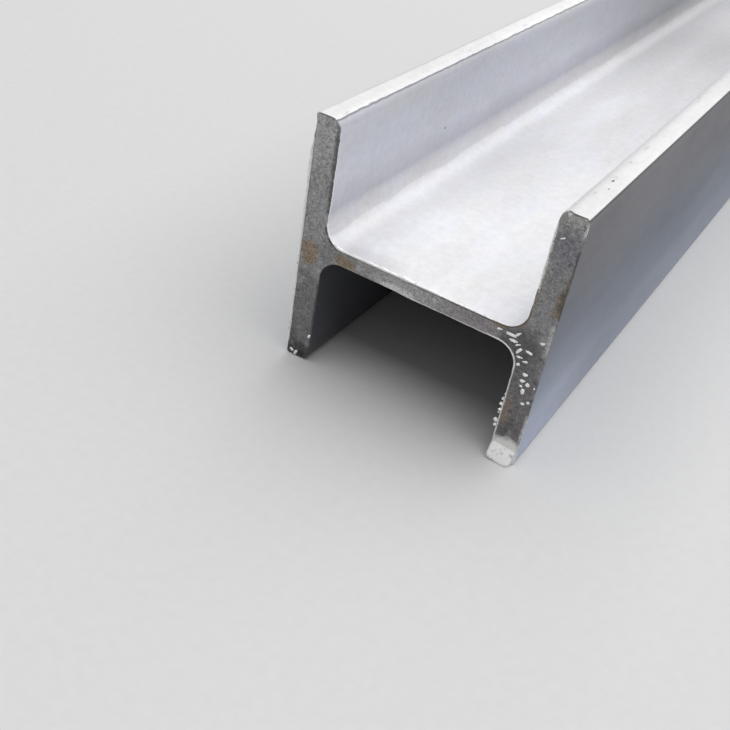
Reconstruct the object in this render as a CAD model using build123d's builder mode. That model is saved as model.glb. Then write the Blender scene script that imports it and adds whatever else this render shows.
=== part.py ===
"""A parallel-flange steel beam lying on the toes of its flanges, with its web level.

Millimetres. +Z is up and +Y runs along the length. The origin is on the floor, under the middle of the beam.
"""

from build123d import *

import os

# Rolled section
SECTION_DEPTH = 100.0  # over both flanges, along X
FLANGE_WIDTH = 100.0  # from toe to toe of one upright flange, along Z
WEB_THICKNESS = 6.0
FLANGE_THICKNESS = 10.0
ROOT_RADIUS = 8.0  # where the web runs into a flange
TOE_INNER_RADIUS = 4.0  # the toe's corner over the trough, which the rolls leave fuller
TOE_OUTER_RADIUS = 1.0

# Stock length
BEAM_LENGTH = 6000.0

# One quarter of the section, measured from its centre
half_depth = SECTION_DEPTH / 2
half_width = FLANGE_WIDTH / 2
web_face = WEB_THICKNESS / 2
flange_face = half_depth - FLANGE_THICKNESS

os.makedirs("parts", exist_ok=True)

# Rolled beam, sawn square at both ends
with BuildPart() as beam:
    # The lower toes stand on the floor, so the section's centre is half a flange above it
    with BuildSketch(Plane.XZ.shift_origin((0, 0, half_width))) as section:
        with BuildLine() as outline:
            Polyline(
                (0, web_face),
                (flange_face, web_face),
                (flange_face, half_width),
                (half_depth, half_width),
                (half_depth, 0),
            )
            # Root: the outer end of the web's face
            fillet(outline.vertices().group_by(Axis.Y)[1].sort_by(Axis.X)[-1], radius=ROOT_RADIUS)
            # Toe: the two highest corners, the inner one first
            fillet(outline.vertices().group_by(Axis.Y)[-1].sort_by(Axis.X)[0], radius=TOE_INNER_RADIUS)
            fillet(outline.vertices().group_by(Axis.Y)[-1].sort_by(Axis.X)[-1], radius=TOE_OUTER_RADIUS)
            # Across the web's middle, then across the web
            mirror(about=Plane.YZ)
            mirror(about=Plane.XZ)
        make_face()
    extrude(amount=BEAM_LENGTH / 2, both=True)

beam.part.label = "steel_beam"
export_step(beam.part, "parts/steel_beam.step")
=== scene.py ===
"""Dresses the rolled steel beam with mill scale, sawn ends, and the burr and drops of cut metal on them,
with painted light and shade in the skin's colours.

Metres, in the frame of the solid model: X across both flanges, Y along the beam, Z up. The beam lies on the
toes of its flanges, and its near sawn end faces -Y.
"""

from __future__ import annotations

import functools
import itertools
import logging
import math
from dataclasses import astuple, dataclass
from enum import Enum

import bpy
import numpy as np
from mathutils import Matrix, Vector

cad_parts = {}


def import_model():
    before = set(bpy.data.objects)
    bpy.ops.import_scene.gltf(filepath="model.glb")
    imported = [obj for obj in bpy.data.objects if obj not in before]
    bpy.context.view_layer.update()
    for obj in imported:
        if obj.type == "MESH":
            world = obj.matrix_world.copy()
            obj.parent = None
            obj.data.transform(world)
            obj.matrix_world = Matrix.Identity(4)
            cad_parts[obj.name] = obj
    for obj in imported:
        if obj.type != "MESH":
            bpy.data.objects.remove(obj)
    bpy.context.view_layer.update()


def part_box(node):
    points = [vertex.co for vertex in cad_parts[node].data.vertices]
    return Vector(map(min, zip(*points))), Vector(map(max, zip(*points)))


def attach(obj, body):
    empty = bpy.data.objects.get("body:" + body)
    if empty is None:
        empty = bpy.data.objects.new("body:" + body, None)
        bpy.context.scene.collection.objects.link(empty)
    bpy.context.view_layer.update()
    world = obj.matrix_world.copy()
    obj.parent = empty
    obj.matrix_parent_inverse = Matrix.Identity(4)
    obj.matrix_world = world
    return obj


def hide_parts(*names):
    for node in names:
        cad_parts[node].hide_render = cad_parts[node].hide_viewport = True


LOG = logging.getLogger("steel_beam")

Triple = tuple[float, float, float]
Colour = Triple
Socket = bpy.types.NodeSocket
Paint = Socket | Colour

BEAM_NODE = "steel_beam"
BAKE_MAP = "OFBake"
TONE = "tone"
RUN = "run"
UPPER = "upper"
LINE = "line"
MM = 0.001
STIR_PLACE = np.array([374761393, 668265263, 1440662683])
STIR_SEED = 974634777
STIR_AGAIN = 1274126177
DRAWN_OUT: Triple = (1.0, 0.30, 1.0)
BACKDROP: Colour = (0.80, 0.805, 0.815)


# Shared shapes and patterns


def smooth_step(values: np.ndarray, low: float, high: float) -> np.ndarray:
    """A soft step from 0 at low to 1 at high, 3t^2 - 2t^3 between them."""
    t = np.clip((values - low) / (high - low), 0.0, 1.0)
    return t * t * (3.0 - 2.0 * t)


def lattice_noise(points: np.ndarray, cell: float, seed: int) -> np.ndarray:
    """Smooth noise between -1 and 1.

    Each corner of a cubic lattice has a fixed value, stirred from its three whole numbers and the seed. The
    eight corners round a point are blended by 3t^2 - 2t^3 along each axis.

    Args:
        points: places, with three numbers in the last axis.
        cell: the lattice's step.
        seed: another seed gives another pattern.

    Returns:
        One value for each place.
    """
    scaled = points / cell
    base = np.floor(scaled)
    t = smooth_step(scaled - base, 0.0, 1.0)
    base = base.astype(np.int64)
    total = np.zeros(points.shape[:-1])
    for offset in itertools.product((0, 1), repeat=3):
        stirred = (base + np.array(offset)) @ STIR_PLACE + seed * STIR_SEED
        stirred = (stirred ^ (stirred >> 13)) * STIR_AGAIN
        stirred = stirred ^ (stirred >> 16)
        value = (stirred & 0xFFFF) / 32767.5 - 1.0
        total += value * np.prod(np.where(np.array(offset) == 1, t, 1.0 - t), axis=-1)
    return total


def layered_noise(points: np.ndarray, cell: float, layers: int, seed: int) -> np.ndarray:
    """Noise at a cell size and at half of it, a quarter and so on, each layer half as strong.

    Args:
        points: places, with three numbers in the last axis.
        cell: the widest layer's step.
        layers: how many layers are added.
        seed: the first layer's seed.

    Returns:
        One value for each place, mostly between -1 and 1.
    """
    total = np.zeros(points.shape[:-1])
    for layer in range(layers):
        total += lattice_noise(points, cell / 2**layer, seed + layer) / 2**layer
    return total / 1.5


def line_places(travel: np.ndarray, across: float = 0.0) -> np.ndarray:
    """Places for noise that changes along a line only. Another distance across gives another pattern."""
    return np.stack([travel, np.full_like(travel, across), np.zeros_like(travel)], axis=-1)


def stand_up(flat: np.ndarray, y: np.ndarray, middle_z: float) -> np.ndarray:
    """Places on the section's plane, stood up at their distances along the beam."""
    return np.stack([flat[..., 0], y, flat[..., 1] + middle_z], axis=-1)


def path_run(points: np.ndarray) -> np.ndarray:
    """Distance of each point from the first one, along the path through them."""
    return np.concatenate([[0.0], np.cumsum(np.linalg.norm(np.diff(points, axis=0), axis=1))])


def tube_faces(rows: int, columns: int) -> np.ndarray:
    """Triangles between the rows of a grid whose columns close round it.

    Args:
        rows: number of rows.
        columns: points in a row.

    Returns:
        (n, 3) point numbers, counted row by row.
    """
    grid = np.arange(rows * columns).reshape(rows, columns)
    a, b = grid[:-1], np.roll(grid[:-1], -1, axis=1)
    c, d = np.roll(grid[1:], -1, axis=1), grid[1:]
    return np.concatenate([np.stack(three, axis=-1).reshape(-1, 3) for three in ((a, d, c), (a, c, b))])


# The rolled section


class Quarter(Enum):
    """A quarter of the section, clockwise as seen from the near end.

    The values are its side of the web's middle, its side of the web, and the share of the whole outline at
    which the web's middle lies, from where runs are measured.
    """

    UPPER_RIGHT = (1, 1, 0.0)
    LOWER_RIGHT = (1, -1, 0.5)
    LOWER_LEFT = (-1, -1, 0.5)
    UPPER_LEFT = (-1, 1, 1.0)


@dataclass(frozen=True)
class Outline:
    """The closed outline, clockwise as seen from the near end, from the middle of the web's upper face.

    Each point has its place, its place on the section's spine, its outward normal, its run in its quarter,
    its side of the web's middle and its side of the web. The last travel is the outline's length.
    """

    place: np.ndarray
    spine: np.ndarray
    normal: np.ndarray
    run: np.ndarray
    side: np.ndarray
    level: np.ndarray
    travel: np.ndarray


@dataclass(frozen=True)
class RolledSection:
    """Sizes of the rolled section. Places are measured from its middle, and runs from the web's middle.

    The numbers of steps are those of a quarter's outline. All are multiples of four, so every fourth point
    keeps all the corners. The root's first steps end at root_turn, in degrees, where the spine turns up.
    """

    half_depth: float
    half_width: float
    web: float = 6.0 * MM
    flange: float = 10.0 * MM
    root_radius: float = 8.0 * MM
    toe_inner_radius: float = 4.0 * MM
    toe_outer_radius: float = 1.0 * MM
    web_steps: int = 60
    root_steps: tuple[int, int] = (12, 16)
    root_turn: float = -54.0
    flange_steps: int = 64
    toe_steps: tuple[int, ...] = (4, 12, 12, 8, 8)

    @property
    def web_run(self) -> float:
        """Run at which the root starts."""
        return self.half_depth - self.flange - self.root_radius

    @property
    def root_run(self) -> float:
        """Run at which the root meets the flange's inner face."""
        return self.web_run + self.root_radius * math.pi / 2

    @property
    def toe_run(self) -> float:
        """Run at which the toe's inner corner starts."""
        return self.root_run + (self.half_width - self.toe_inner_radius - self.web / 2 - self.root_radius)

    @property
    def edge_run(self) -> float:
        """Run at which the toe's outer corner ends and the flange's outer face starts."""
        flat = self.flange - self.toe_inner_radius - self.toe_outer_radius
        return self.toe_run + flat + (self.toe_inner_radius + self.toe_outer_radius) * math.pi / 2

    @property
    def quarter_run(self) -> float:
        """Length of a quarter's outline, from the web's middle to the flange's middle."""
        return self.edge_run + self.half_width - self.toe_outer_radius

    @property
    def whole(self) -> float:
        """Length of the whole outline."""
        return 4.0 * self.quarter_run

    def travel_of(self, quarter: Quarter, run: float) -> float:
        """Travel along the closed outline, clockwise from the web's upper middle, of a run in a quarter."""
        side, level, start = quarter.value
        return start * self.whole + side * level * run

    def _quarter(self) -> tuple[np.ndarray, np.ndarray]:
        """The upper right quarter's points and the points of the section's spine that they belong to.

        The points follow the web's face, the root, the flange's inner face, the toe and the outer face. The
        spine is the middle line of the web and of the flange, up to half a flange short of the toe. Across a
        flange both faces share their spine points, so a sawn face can be closed there.

        Returns:
            Points and spine points, each (n, 2).
        """
        web_face, flange_face = self.web / 2, self.half_depth - self.flange
        root_x, root_z = flange_face - self.root_radius, web_face + self.root_radius
        middle, pole = self.half_depth - self.flange / 2, self.half_width - self.flange / 2
        toe_x, toe_z = flange_face + self.toe_inner_radius, self.half_width - self.toe_inner_radius
        edge_x, edge_z = self.half_depth - self.toe_outer_radius, self.half_width - self.toe_outer_radius
        low, high = self.root_steps
        below, corner, flat, edge, above = self.toe_steps

        def line(start: tuple[float, float], stop: tuple[float, float], count: int) -> np.ndarray:
            """Even steps on a straight line, without its last point."""
            return np.linspace(start, stop, count, endpoint=False)

        def arc(x: float, z: float, radius: float, start: float, stop: float, count: int) -> np.ndarray:
            """Even steps on a circle's arc, without its last point. Angles in degrees."""
            angle = np.radians(np.linspace(start, stop, count, endpoint=False))
            return np.array((x, z)) + radius * np.stack([np.cos(angle), np.sin(angle)], axis=-1)

        points = [
            line((0.0, web_face), (root_x, web_face), self.web_steps),
            arc(root_x, root_z, self.root_radius, -90.0, self.root_turn, low),
            arc(root_x, root_z, self.root_radius, self.root_turn, 0.0, high),
            line((flange_face, root_z), (flange_face, pole), self.flange_steps),
            line((flange_face, pole), (flange_face, toe_z), below),
            arc(toe_x, toe_z, self.toe_inner_radius, 180.0, 90.0, corner),
            line((toe_x, self.half_width), (edge_x, self.half_width), flat),
            arc(edge_x, edge_z, self.toe_outer_radius, 90.0, 0.0, edge),
            line((self.half_depth, edge_z), (self.half_depth, pole), above),
            line((self.half_depth, pole), (self.half_depth, root_z), self.flange_steps),
            line((self.half_depth, root_z), (self.half_depth, 0.0), high),
            [(self.half_depth, 0.0)],
        ]
        spine = [
            line((0.0, 0.0), (root_x, 0.0), self.web_steps),
            line((root_x, 0.0), (middle, 0.0), low),
            line((middle, 0.0), (middle, root_z), high),
            line((middle, root_z), (middle, pole), self.flange_steps),
            line((middle, pole), (middle, pole), sum(self.toe_steps)),
            line((middle, pole), (middle, root_z), self.flange_steps),
            line((middle, root_z), (middle, 0.0), high),
            [(middle, 0.0)],
        ]
        return np.concatenate(points), np.concatenate(spine)

    def outline(self) -> Outline:
        """The quarter's points mirrored into the closed outline.

        Returns:
            The outline, with each point's normal at right angles to the line between its neighbours.
        """
        points, spine = self._quarter()
        ones = np.ones(len(points))
        rows = np.column_stack([points, spine, path_run(points), ones, ones])
        turned = []
        for quarter in Quarter:
            side, level, _ = quarter.value
            picked = rows[:-1] if side * level > 0 else rows[:0:-1]
            turned.append(picked * (side, level, side, level, 1.0, side, level))
        table = np.concatenate(turned)
        place = table[:, :2]
        along = np.roll(place, -1, axis=0) - np.roll(place, 1, axis=0)
        normal = np.stack([-along[:, 1], along[:, 0]], axis=-1)
        normal /= np.linalg.norm(normal, axis=1, keepdims=True)
        travel = path_run(np.concatenate([place, place[:1]]))
        return Outline(place, table[:, 2:4], normal, *table[:, 4:].T, travel)


def stretch_window(
    travel: np.ndarray, start: float, stop: float, soft: float, whole: float
) -> np.ndarray:
    """1 along a stretch of a closed outline and 0 elsewhere, with soft ends.

    Args:
        travel: where the window is read.
        start: travel at which it opens. It may be past the outline's end, and then wraps.
        stop: travel at which it shuts.
        soft: length of each soft end, inside the window.
        whole: length of the outline.

    Returns:
        The window at each travel.
    """
    length = (stop - start) % whole
    inside = (travel - start) % whole
    return smooth_step(inside, 0.0, soft) * (1.0 - smooth_step(inside, length - soft, length))


# Marks that the saw and the yard left, and painted light and shade on the skin beside the ends


class Coat(Enum):
    """A coat that marks are painted into, by the name of its mesh attribute. The fresh metal coat holds
    painted highlight as well, and the dark dirt coat painted shadow lines as well.
    """

    BARE = "bare"
    RUST = "rust"
    GRIME = "grime"


@dataclass(frozen=True)
class SurfacePoints:
    """Points on the surface.

    Each has its place from the section's middle, its travel along the outline, its distance inside the rim,
    0 on the skin, and its distance past the rim along the skin, 0 on the face.
    """

    places: np.ndarray
    travel: np.ndarray
    whole: float
    inset: np.ndarray
    past: np.ndarray


@dataclass(frozen=True)
class RimStretch:
    """A stretch of a sawn end's rim, clockwise from one travel to another, and its width or thickness."""

    start: float
    stop: float
    size: float


@dataclass(frozen=True)
class RimMark:
    """A ragged line painted along a stretch of the rim, on the face and the skin beside it. Millimetres.

    On the face it lies between two distances from the rim, and on the skin between the rim and one distance.
    """

    coat: Coat
    start: float
    stop: float
    face_to: float
    face_from: float = 0.0
    skin_to: float = 0.0
    strength: float = 1.0
    soft: float = 0.30
    ragged: float = 0.45
    dash: float = 0.0

    def cover(self, at: SurfacePoints, seed: int) -> np.ndarray:
        """How strongly the line shows.

        Args:
            at: the points.
            seed: another seed gives another ragged line.

        Returns:
            0 to the line's strength, for each point.
        """
        window = stretch_window(at.travel, self.start, self.stop, 2.5 * MM, at.whole)
        spots = np.stack([at.travel, at.inset, at.past], axis=-1)
        shake = 1.0 + self.ragged * layered_noise(spots, 1.5 * MM, 2, seed)
        soft = self.soft * MM
        low, high = self.face_from * MM, self.face_to * MM * shake
        face = smooth_step(at.inset, low - soft, low) * (1.0 - smooth_step(at.inset, high, high + soft))
        edge = self.skin_to * MM * shake
        skin = 1.0 - smooth_step(at.past, edge, edge + soft)
        line = self.strength * window * np.where(at.inset > 1e-6, face, skin)
        if self.dash > 0.0:
            line *= smooth_step(lattice_noise(line_places(at.travel), self.dash * MM, seed + 3), -0.05, 0.15)
        return line


@dataclass(frozen=True)
class FacePatch:
    """A soft ragged patch of another tone on a sawn face, which may lay a coat as well. Places and reaches
    in millimetres, from the section's middle.
    """

    x: float
    z: float
    reach_x: float
    reach_z: float
    colour: Colour
    strength: float = 0.9
    coat: Coat | None = None
    cover_coat: float = 0.0
    ragged: float = 0.4

    def cover(self, places: np.ndarray, seed: int) -> np.ndarray:
        """How much of the patch shows.

        The distance from its middle, over its reach in each direction, is shaken by noise. The patch is full
        where that is under 0.5 and gone where it is over 1.1.

        Args:
            places: (n, 3) places, measured from the section's middle.
            seed: another seed gives another ragged edge.

        Returns:
            0 to 1, for each place.
        """
        x, z = places[:, 0] / MM - self.x, places[:, 2] / MM - self.z
        away = np.hypot(x / self.reach_x, z / self.reach_z)
        away = away + self.ragged * layered_noise(places, 3.0 * MM, 3, seed)
        return 1.0 - smooth_step(away, 0.5, 1.1)


@dataclass(frozen=True)
class PaintedSkinLight:
    """A soft patch of painted light, where its factor is over 1, or of painted shade, where it is under 1,
    on the skin near an end. Millimetres, but for its travel.
    """

    travel: float
    past: float
    reach_run: float
    reach_past: float
    factor: float

    def scale(self, at: SurfacePoints) -> np.ndarray:
        """How much lighter or darker the skin is.

        Args:
            at: the points.

        Returns:
            What the tone is multiplied by, for each point.
        """
        half = at.whole / 2
        along = (at.travel - self.travel + half) % at.whole - half
        far = np.hypot(along / MM / self.reach_run, (at.past / MM - self.past) / self.reach_past)
        return 1.0 + (self.factor - 1.0) * (1.0 - smooth_step(far, 0.2, 1.1))


class Patch(Enum):
    """A part of the surface, as the way it faces along Y."""

    NEAR_FACE = -1
    SKIN = 0
    FAR_FACE = 1


@dataclass(frozen=True)
class SawnEnd:
    """One sawn end: the grain of its face, the bevel round its rim, the marks on it and beside it, and
    painted light and shade on the skin beside it.
    """

    face: Patch
    plane_y: float
    seed: int
    grain: float = 0.10 * MM
    swell: float = 0.14 * MM
    rim: float = 0.20 * MM
    least_rim: float = 0.08 * MM
    face_rings: int = 11
    rim_rings: int = 3
    face_tone: Colour = (0.33, 0.33, 0.33)
    bevels: tuple[RimStretch, ...] = ()
    marks: tuple[RimMark, ...] = ()
    face_patches: tuple[FacePatch, ...] = ()
    painted_light_patches: tuple[PaintedSkinLight, ...] = ()

    def relief(self, places: np.ndarray) -> np.ndarray:
        """How far the face lies inside the end plane: fine grain on a low swell.

        Args:
            places: (n, 3) places on the face, measured from the section's middle.

        Returns:
            A depth for each place.
        """
        fine = layered_noise(places, 1.3 * MM, 2, self.seed)
        wide = lattice_noise(places, 9.0 * MM, self.seed + 5)
        return self.grain * fine + self.swell * (wide + 0.4)

    def bevel_width(self, outline: Outline) -> np.ndarray:
        """Width of the rounded rim, wider and more ragged along the bevelled stretches.

        Args:
            outline: the section's outline.

        Returns:
            A width for each outline point.
        """
        travel = outline.travel[:-1]
        ragged = layered_noise(line_places(travel), 2.4 * MM, 3, self.seed + 11)
        width = self.rim * (1.0 + 0.35 * ragged)
        for bevel in self.bevels:
            window = stretch_window(travel, bevel.start, bevel.stop, 4.0 * MM, outline.travel[-1])
            width += window * bevel.size * (1.0 + 0.55 * ragged)
        return np.clip(width, self.least_rim, None)

    def paint(self, at: SurfacePoints, tone: np.ndarray, coats: dict[Coat, np.ndarray]) -> None:
        """Paints the face's tone and its patches, the lines along its rim, and the painted light and shade
        on the skin beside it.

        Args:
            at: the points.
            tone: (n, 3) colours, changed in place.
            coats: (n,) strength of each coat, changed in place.
        """
        # Painted light and shade on the skin beside the end.
        for shade in self.painted_light_patches:
            tone *= shade.scale(at)[:, None]
        flat = at.places * np.array([1.0, 0.0, 1.0])
        face = smooth_step(at.inset, 0.02 * MM, 0.12 * MM)
        drawn = np.tile(np.array(self.face_tone), (len(tone), 1))
        drawn *= 1.0 + 0.10 * layered_noise(flat, 7.0 * MM, 3, self.seed + 21)[:, None]
        for number, face_patch in enumerate(self.face_patches):
            cover = face_patch.cover(flat, self.seed + 31 + number)
            drawn += (np.array(face_patch.colour) - drawn) * (face_patch.strength * cover)[:, None]
            if face_patch.coat is not None:
                coats[face_patch.coat][:] = np.maximum(coats[face_patch.coat], face_patch.cover_coat * cover * face)
        tone += (drawn - tone) * face[:, None]
        for number, mark in enumerate(self.marks):
            line = mark.cover(at, self.seed + 71 + 5 * number)
            coats[mark.coat][:] = np.maximum(coats[mark.coat], line)


@dataclass(frozen=True)
class SkinTonesAndPaintedLight:
    """Base colours of the rolled faces, on the way from the web's middle to the flange's middle. They hold
    painted light and shade: the web and the root are near white as painted sheen, raised towards the root to
    make up for the flanges' shade; the outer faces are darker at the top and lighter towards the bottom as
    painted reflection; the lower faces between the flanges are dark as painted shade.
    """

    web_middle: Colour = (0.83, 0.83, 0.84)
    web_edge: Colour = (0.935, 0.935, 0.95)
    root: Colour = (0.985, 0.985, 0.995)
    root_high: Colour = (0.99, 0.987, 1.0)
    root_end: Colour = (0.885, 0.880, 0.900)
    inner_low: Colour = (0.620, 0.630, 0.688)
    inner: Colour = (0.775, 0.79, 0.845)
    inner_corner: Colour = (0.56, 0.565, 0.605)
    toe: Colour = (0.97, 0.97, 0.975)
    outer_edge: Colour = (0.175, 0.170, 0.178)
    outer_high: Colour = (0.130, 0.128, 0.149)
    outer_blue: Colour = (0.129, 0.139, 0.172)
    outer_middle: Colour = (0.142, 0.164, 0.213)
    outer_lower: Colour = (0.203, 0.237, 0.300)
    outer_rise: Colour = (0.280, 0.310, 0.382)
    outer_low: Colour = (0.335, 0.37, 0.455)
    trough_shade: Colour = (0.10, 0.105, 0.118)

    @staticmethod
    def _between(run: np.ndarray, stops: tuple[tuple[float, Colour], ...]) -> np.ndarray:
        """Colours blended evenly between the stops."""
        places, colours = zip(*stops)
        return np.stack([np.interp(run, places, channel) for channel in zip(*colours)], axis=-1)

    def on_skin(
        self, section: RolledSection, run: np.ndarray, side: np.ndarray, level: np.ndarray
    ) -> np.ndarray:
        """Colour at a run of the outline, blended between the named places.

        Args:
            section: the section's sizes.
            run: distance along the quarter's outline.
            side: 1 right of the web's middle, where the toe's inner corner is pale too as painted highlight,
                and -1 left of it.
            level: 1 above the web's middle and -1 below.

        Returns:
            Colours (n, 3).
        """
        web, root, toe = section.web_run, section.root_run, section.toe_run
        edge, last = section.edge_run, section.quarter_run
        # Upper stops: painted sheen on the web and the root, raised towards the root against the flanges'
        # shade, and painted reflection darkening the outer face's top.
        upper = (
            (0.0, self.web_middle),
            (web, self.web_edge),
            (web + 6.0 * MM, self.root),
            (web + 9.8 * MM, self.root_high),
            (root + 0.4 * MM, self.root_end),
            (root + 4.2 * MM, self.inner_low),
            (root + 14.0 * MM, self.inner),
            (toe, self.inner),
            (toe + 4.2 * MM, self.inner_corner),
            (edge - 0.8 * MM, self.outer_edge),
            (edge + 3.0 * MM, self.outer_high),
            (edge + 19.0 * MM, self.outer_high),
            (edge + 29.0 * MM, self.outer_blue),
            (last, self.outer_middle),
        )
        # Lower stops: painted shade between the flanges, and painted reflection lightening the outer face
        # towards the bottom.
        lower = (
            (toe + 4.2 * MM, self.trough_shade),
            (edge - 0.8 * MM, self.outer_low),
            (edge + 3.0 * MM, self.outer_low),
            (edge + 19.0 * MM, self.outer_rise),
            (edge + 29.0 * MM, self.outer_lower),
            (last, self.outer_middle),
        )
        tone = np.where(level[:, None] > 0, self._between(run, upper), self._between(run, lower))
        # Painted highlight: the right upper toe's inner corner as pale as the toe.
        pale = (run < toe + 4.4 * MM) * (side > 0) * (level > 0)
        corner = smooth_step(run, toe - 2.0 * MM, toe + 0.5 * MM) * pale
        return tone + (np.array(self.toe) - tone) * corner[:, None]


# Node trees


class NodeSheet:
    """The node tree of a material or a world, filled by short calls. Colours are given without alpha."""

    def __init__(self, name: str, of_world: bool = False) -> None:
        """Makes the material or world, with an output alone in its tree.

        Args:
            name: its name.
            of_world: whether it is a world.
        """
        self.owner = (bpy.data.worlds if of_world else bpy.data.materials).new(name)
        self.owner.use_nodes = True
        self.tree = self.owner.node_tree
        self.tree.nodes.clear()
        self.output = self.add("OutputWorld" if of_world else "OutputMaterial")

    def add(self, kind: str, inputs: dict | None = None, **settings: object) -> bpy.types.Node:
        """Adds a node.

        Args:
            kind: the node's type, without ShaderNode.
            inputs: for each input's name or number, a value or the socket that feeds it.
            settings: the node's own options.

        Returns:
            The node.
        """
        node = self.tree.nodes.new("ShaderNode" + kind)
        for option, value in settings.items():
            setattr(node, option, value)
        for name, value in (inputs or {}).items():
            socket = node.inputs[name]
            if isinstance(value, Socket):
                self.tree.links.new(value, socket)
            else:
                socket.default_value = (*value, 1.0) if socket.type == "RGBA" else value
        return node

    def place(self, stretch: Triple = (1.0, 1.0, 1.0), turn: Triple = (0.0, 0.0, 0.0)) -> Socket:
        """Object coordinates, scaled along each axis and turned."""
        spot = self.add("TexCoord").outputs["Object"]
        return self.add("Mapping", {"Vector": spot, "Scale": stretch, "Rotation": turn}).outputs["Vector"]

    def noise(
        self, place: Socket, size: float, detail: float = 3.0, rough: float = 0.55, warp: float = 0.0
    ) -> Socket:
        """Noise between 0 and 1 whose patches are about that size, in metres."""
        inputs = {"Vector": place, "Scale": 1.0 / size, "Detail": detail, "Roughness": rough}
        return self.add("TexNoise", {**inputs, "Distortion": warp}).outputs["Fac"]

    def sum(self, operation: str, first: Socket | float, second: Socket | float = 0.0) -> Socket:
        """One sum of two numbers."""
        return self.add("Math", {0: first, 1: second}, operation=operation).outputs[0]

    def product(self, *values: Socket | float) -> Socket:
        """All the numbers multiplied."""
        return functools.reduce(lambda first, second: self.sum("MULTIPLY", first, second), values)

    def spread(self, value: Socket, low: float, high: float, to_low: float, to_high: float) -> Socket:
        """Moves a value from one range to another and stops at its ends."""
        inputs = {"Value": value, "From Min": low, "From Max": high, "To Min": to_low, "To Max": to_high}
        return self.add("MapRange", inputs).outputs["Result"]

    def rise(self, value: Socket, low: float, high: float, top: float = 1.0) -> Socket:
        """0 up to low, and the top value from high on."""
        return self.spread(value, low, high, 0.0, top)

    def fall(self, value: Socket, low: float, high: float, end: float = 0.0) -> Socket:
        """1 up to low, and the end value from high on."""
        return self.spread(value, low, high, 1.0, end)

    def window(self, value: Socket, opens: float, open_from: float, open_to: float, shut: float) -> Socket:
        """1 between the two middle values and 0 outside the first and last."""
        return self.product(self.rise(value, opens, open_from), self.fall(value, open_to, shut))

    def vary(self, noise: Socket, least: float, most: float) -> Socket:
        """Moves the range that noise mostly keeps to, 0.3 to 0.7, to another one."""
        return self.spread(noise, 0.3, 0.7, least, most)

    def shaken(self, value: Socket, noise: Socket, reach: float) -> Socket:
        """A number moved up and down by noise, by about half the reach each way."""
        return self.sum("ADD", value, self.spread(noise, 0.2, 0.8, -reach, reach))

    def attribute(self, name: str, output: str = "Fac") -> Socket:
        """A mesh attribute's number or colour."""
        return self.add("Attribute", attribute_name=name).outputs[output]

    def blend(self, factor: Socket | float, first: Paint, second: Paint, how: str = "MIX") -> Socket:
        """Blends two colours by a factor."""
        inputs = {"Factor": factor, 6: first, 7: second}
        return self.add("Mix", inputs, data_type="RGBA", blend_type=how).outputs[2]

    def scale_colour(self, colour: Socket, amount: Socket) -> Socket:
        """Multiplies a colour by a number."""
        return self.add("VectorMath", {0: colour, "Scale": amount}, operation="SCALE").outputs[0]

    def rusty(self, coarse: Socket, fine: Socket) -> Socket:
        """Rust from dark brown to ochre."""
        mixed = self.rise(self.sum("ADD", coarse, fine), 0.87, 1.13)
        return self.blend(mixed, (0.11, 0.075, 0.05), (0.42, 0.28, 0.15))

    def coated(
        self, colour: Socket, coat: Coat, grain: Socket, over: Paint, most: float, soft: float = 0.16
    ) -> Socket:
        """Lays a coat's colour over another one.

        Args:
            colour: the colour below.
            coat: the coat, whose strength the mesh holds.
            grain: noise that makes the coat's edge ragged.
            over: the coat's colour.
            most: how much of it shows where it is thickest.
            soft: how far its strength may be from a half before it is gone or full.

        Returns:
            The mixed colour.
        """
        shake = self.spread(grain, 0.25, 0.75, -0.28, 0.28)
        strength = self.sum("ADD", self.attribute(coat.value), shake)
        return self.blend(self.rise(strength, 0.5 - soft, 0.5 + soft, most), colour, over)

    def finish(self, shader: Socket) -> bpy.types.Material | bpy.types.World:
        """Feeds the shader to the output and gives the material or world."""
        self.tree.links.new(shader, self.output.inputs["Surface"])
        return self.owner

    def metal(
        self,
        colour: Socket,
        metallic: Socket | float,
        rough: Socket,
        height: Socket,
        bump: float,
        depth: float,
    ) -> bpy.types.Material:
        """Finishes the material as metal with fine bumps.

        Args:
            colour: base colour.
            metallic: how much it reflects as metal does.
            rough: roughness.
            height: pattern of the bumps.
            bump: their strength.
            depth: their depth.

        Returns:
            The material.
        """
        normal = self.add("Bump", {"Height": height, "Strength": bump, "Distance": depth}).outputs["Normal"]
        inputs = {"Base Color": colour, "Metallic": metallic, "Roughness": rough, "Normal": normal}
        return self.finish(self.add("BsdfPrincipled", inputs).outputs["BSDF"])


# Finishes


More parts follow.
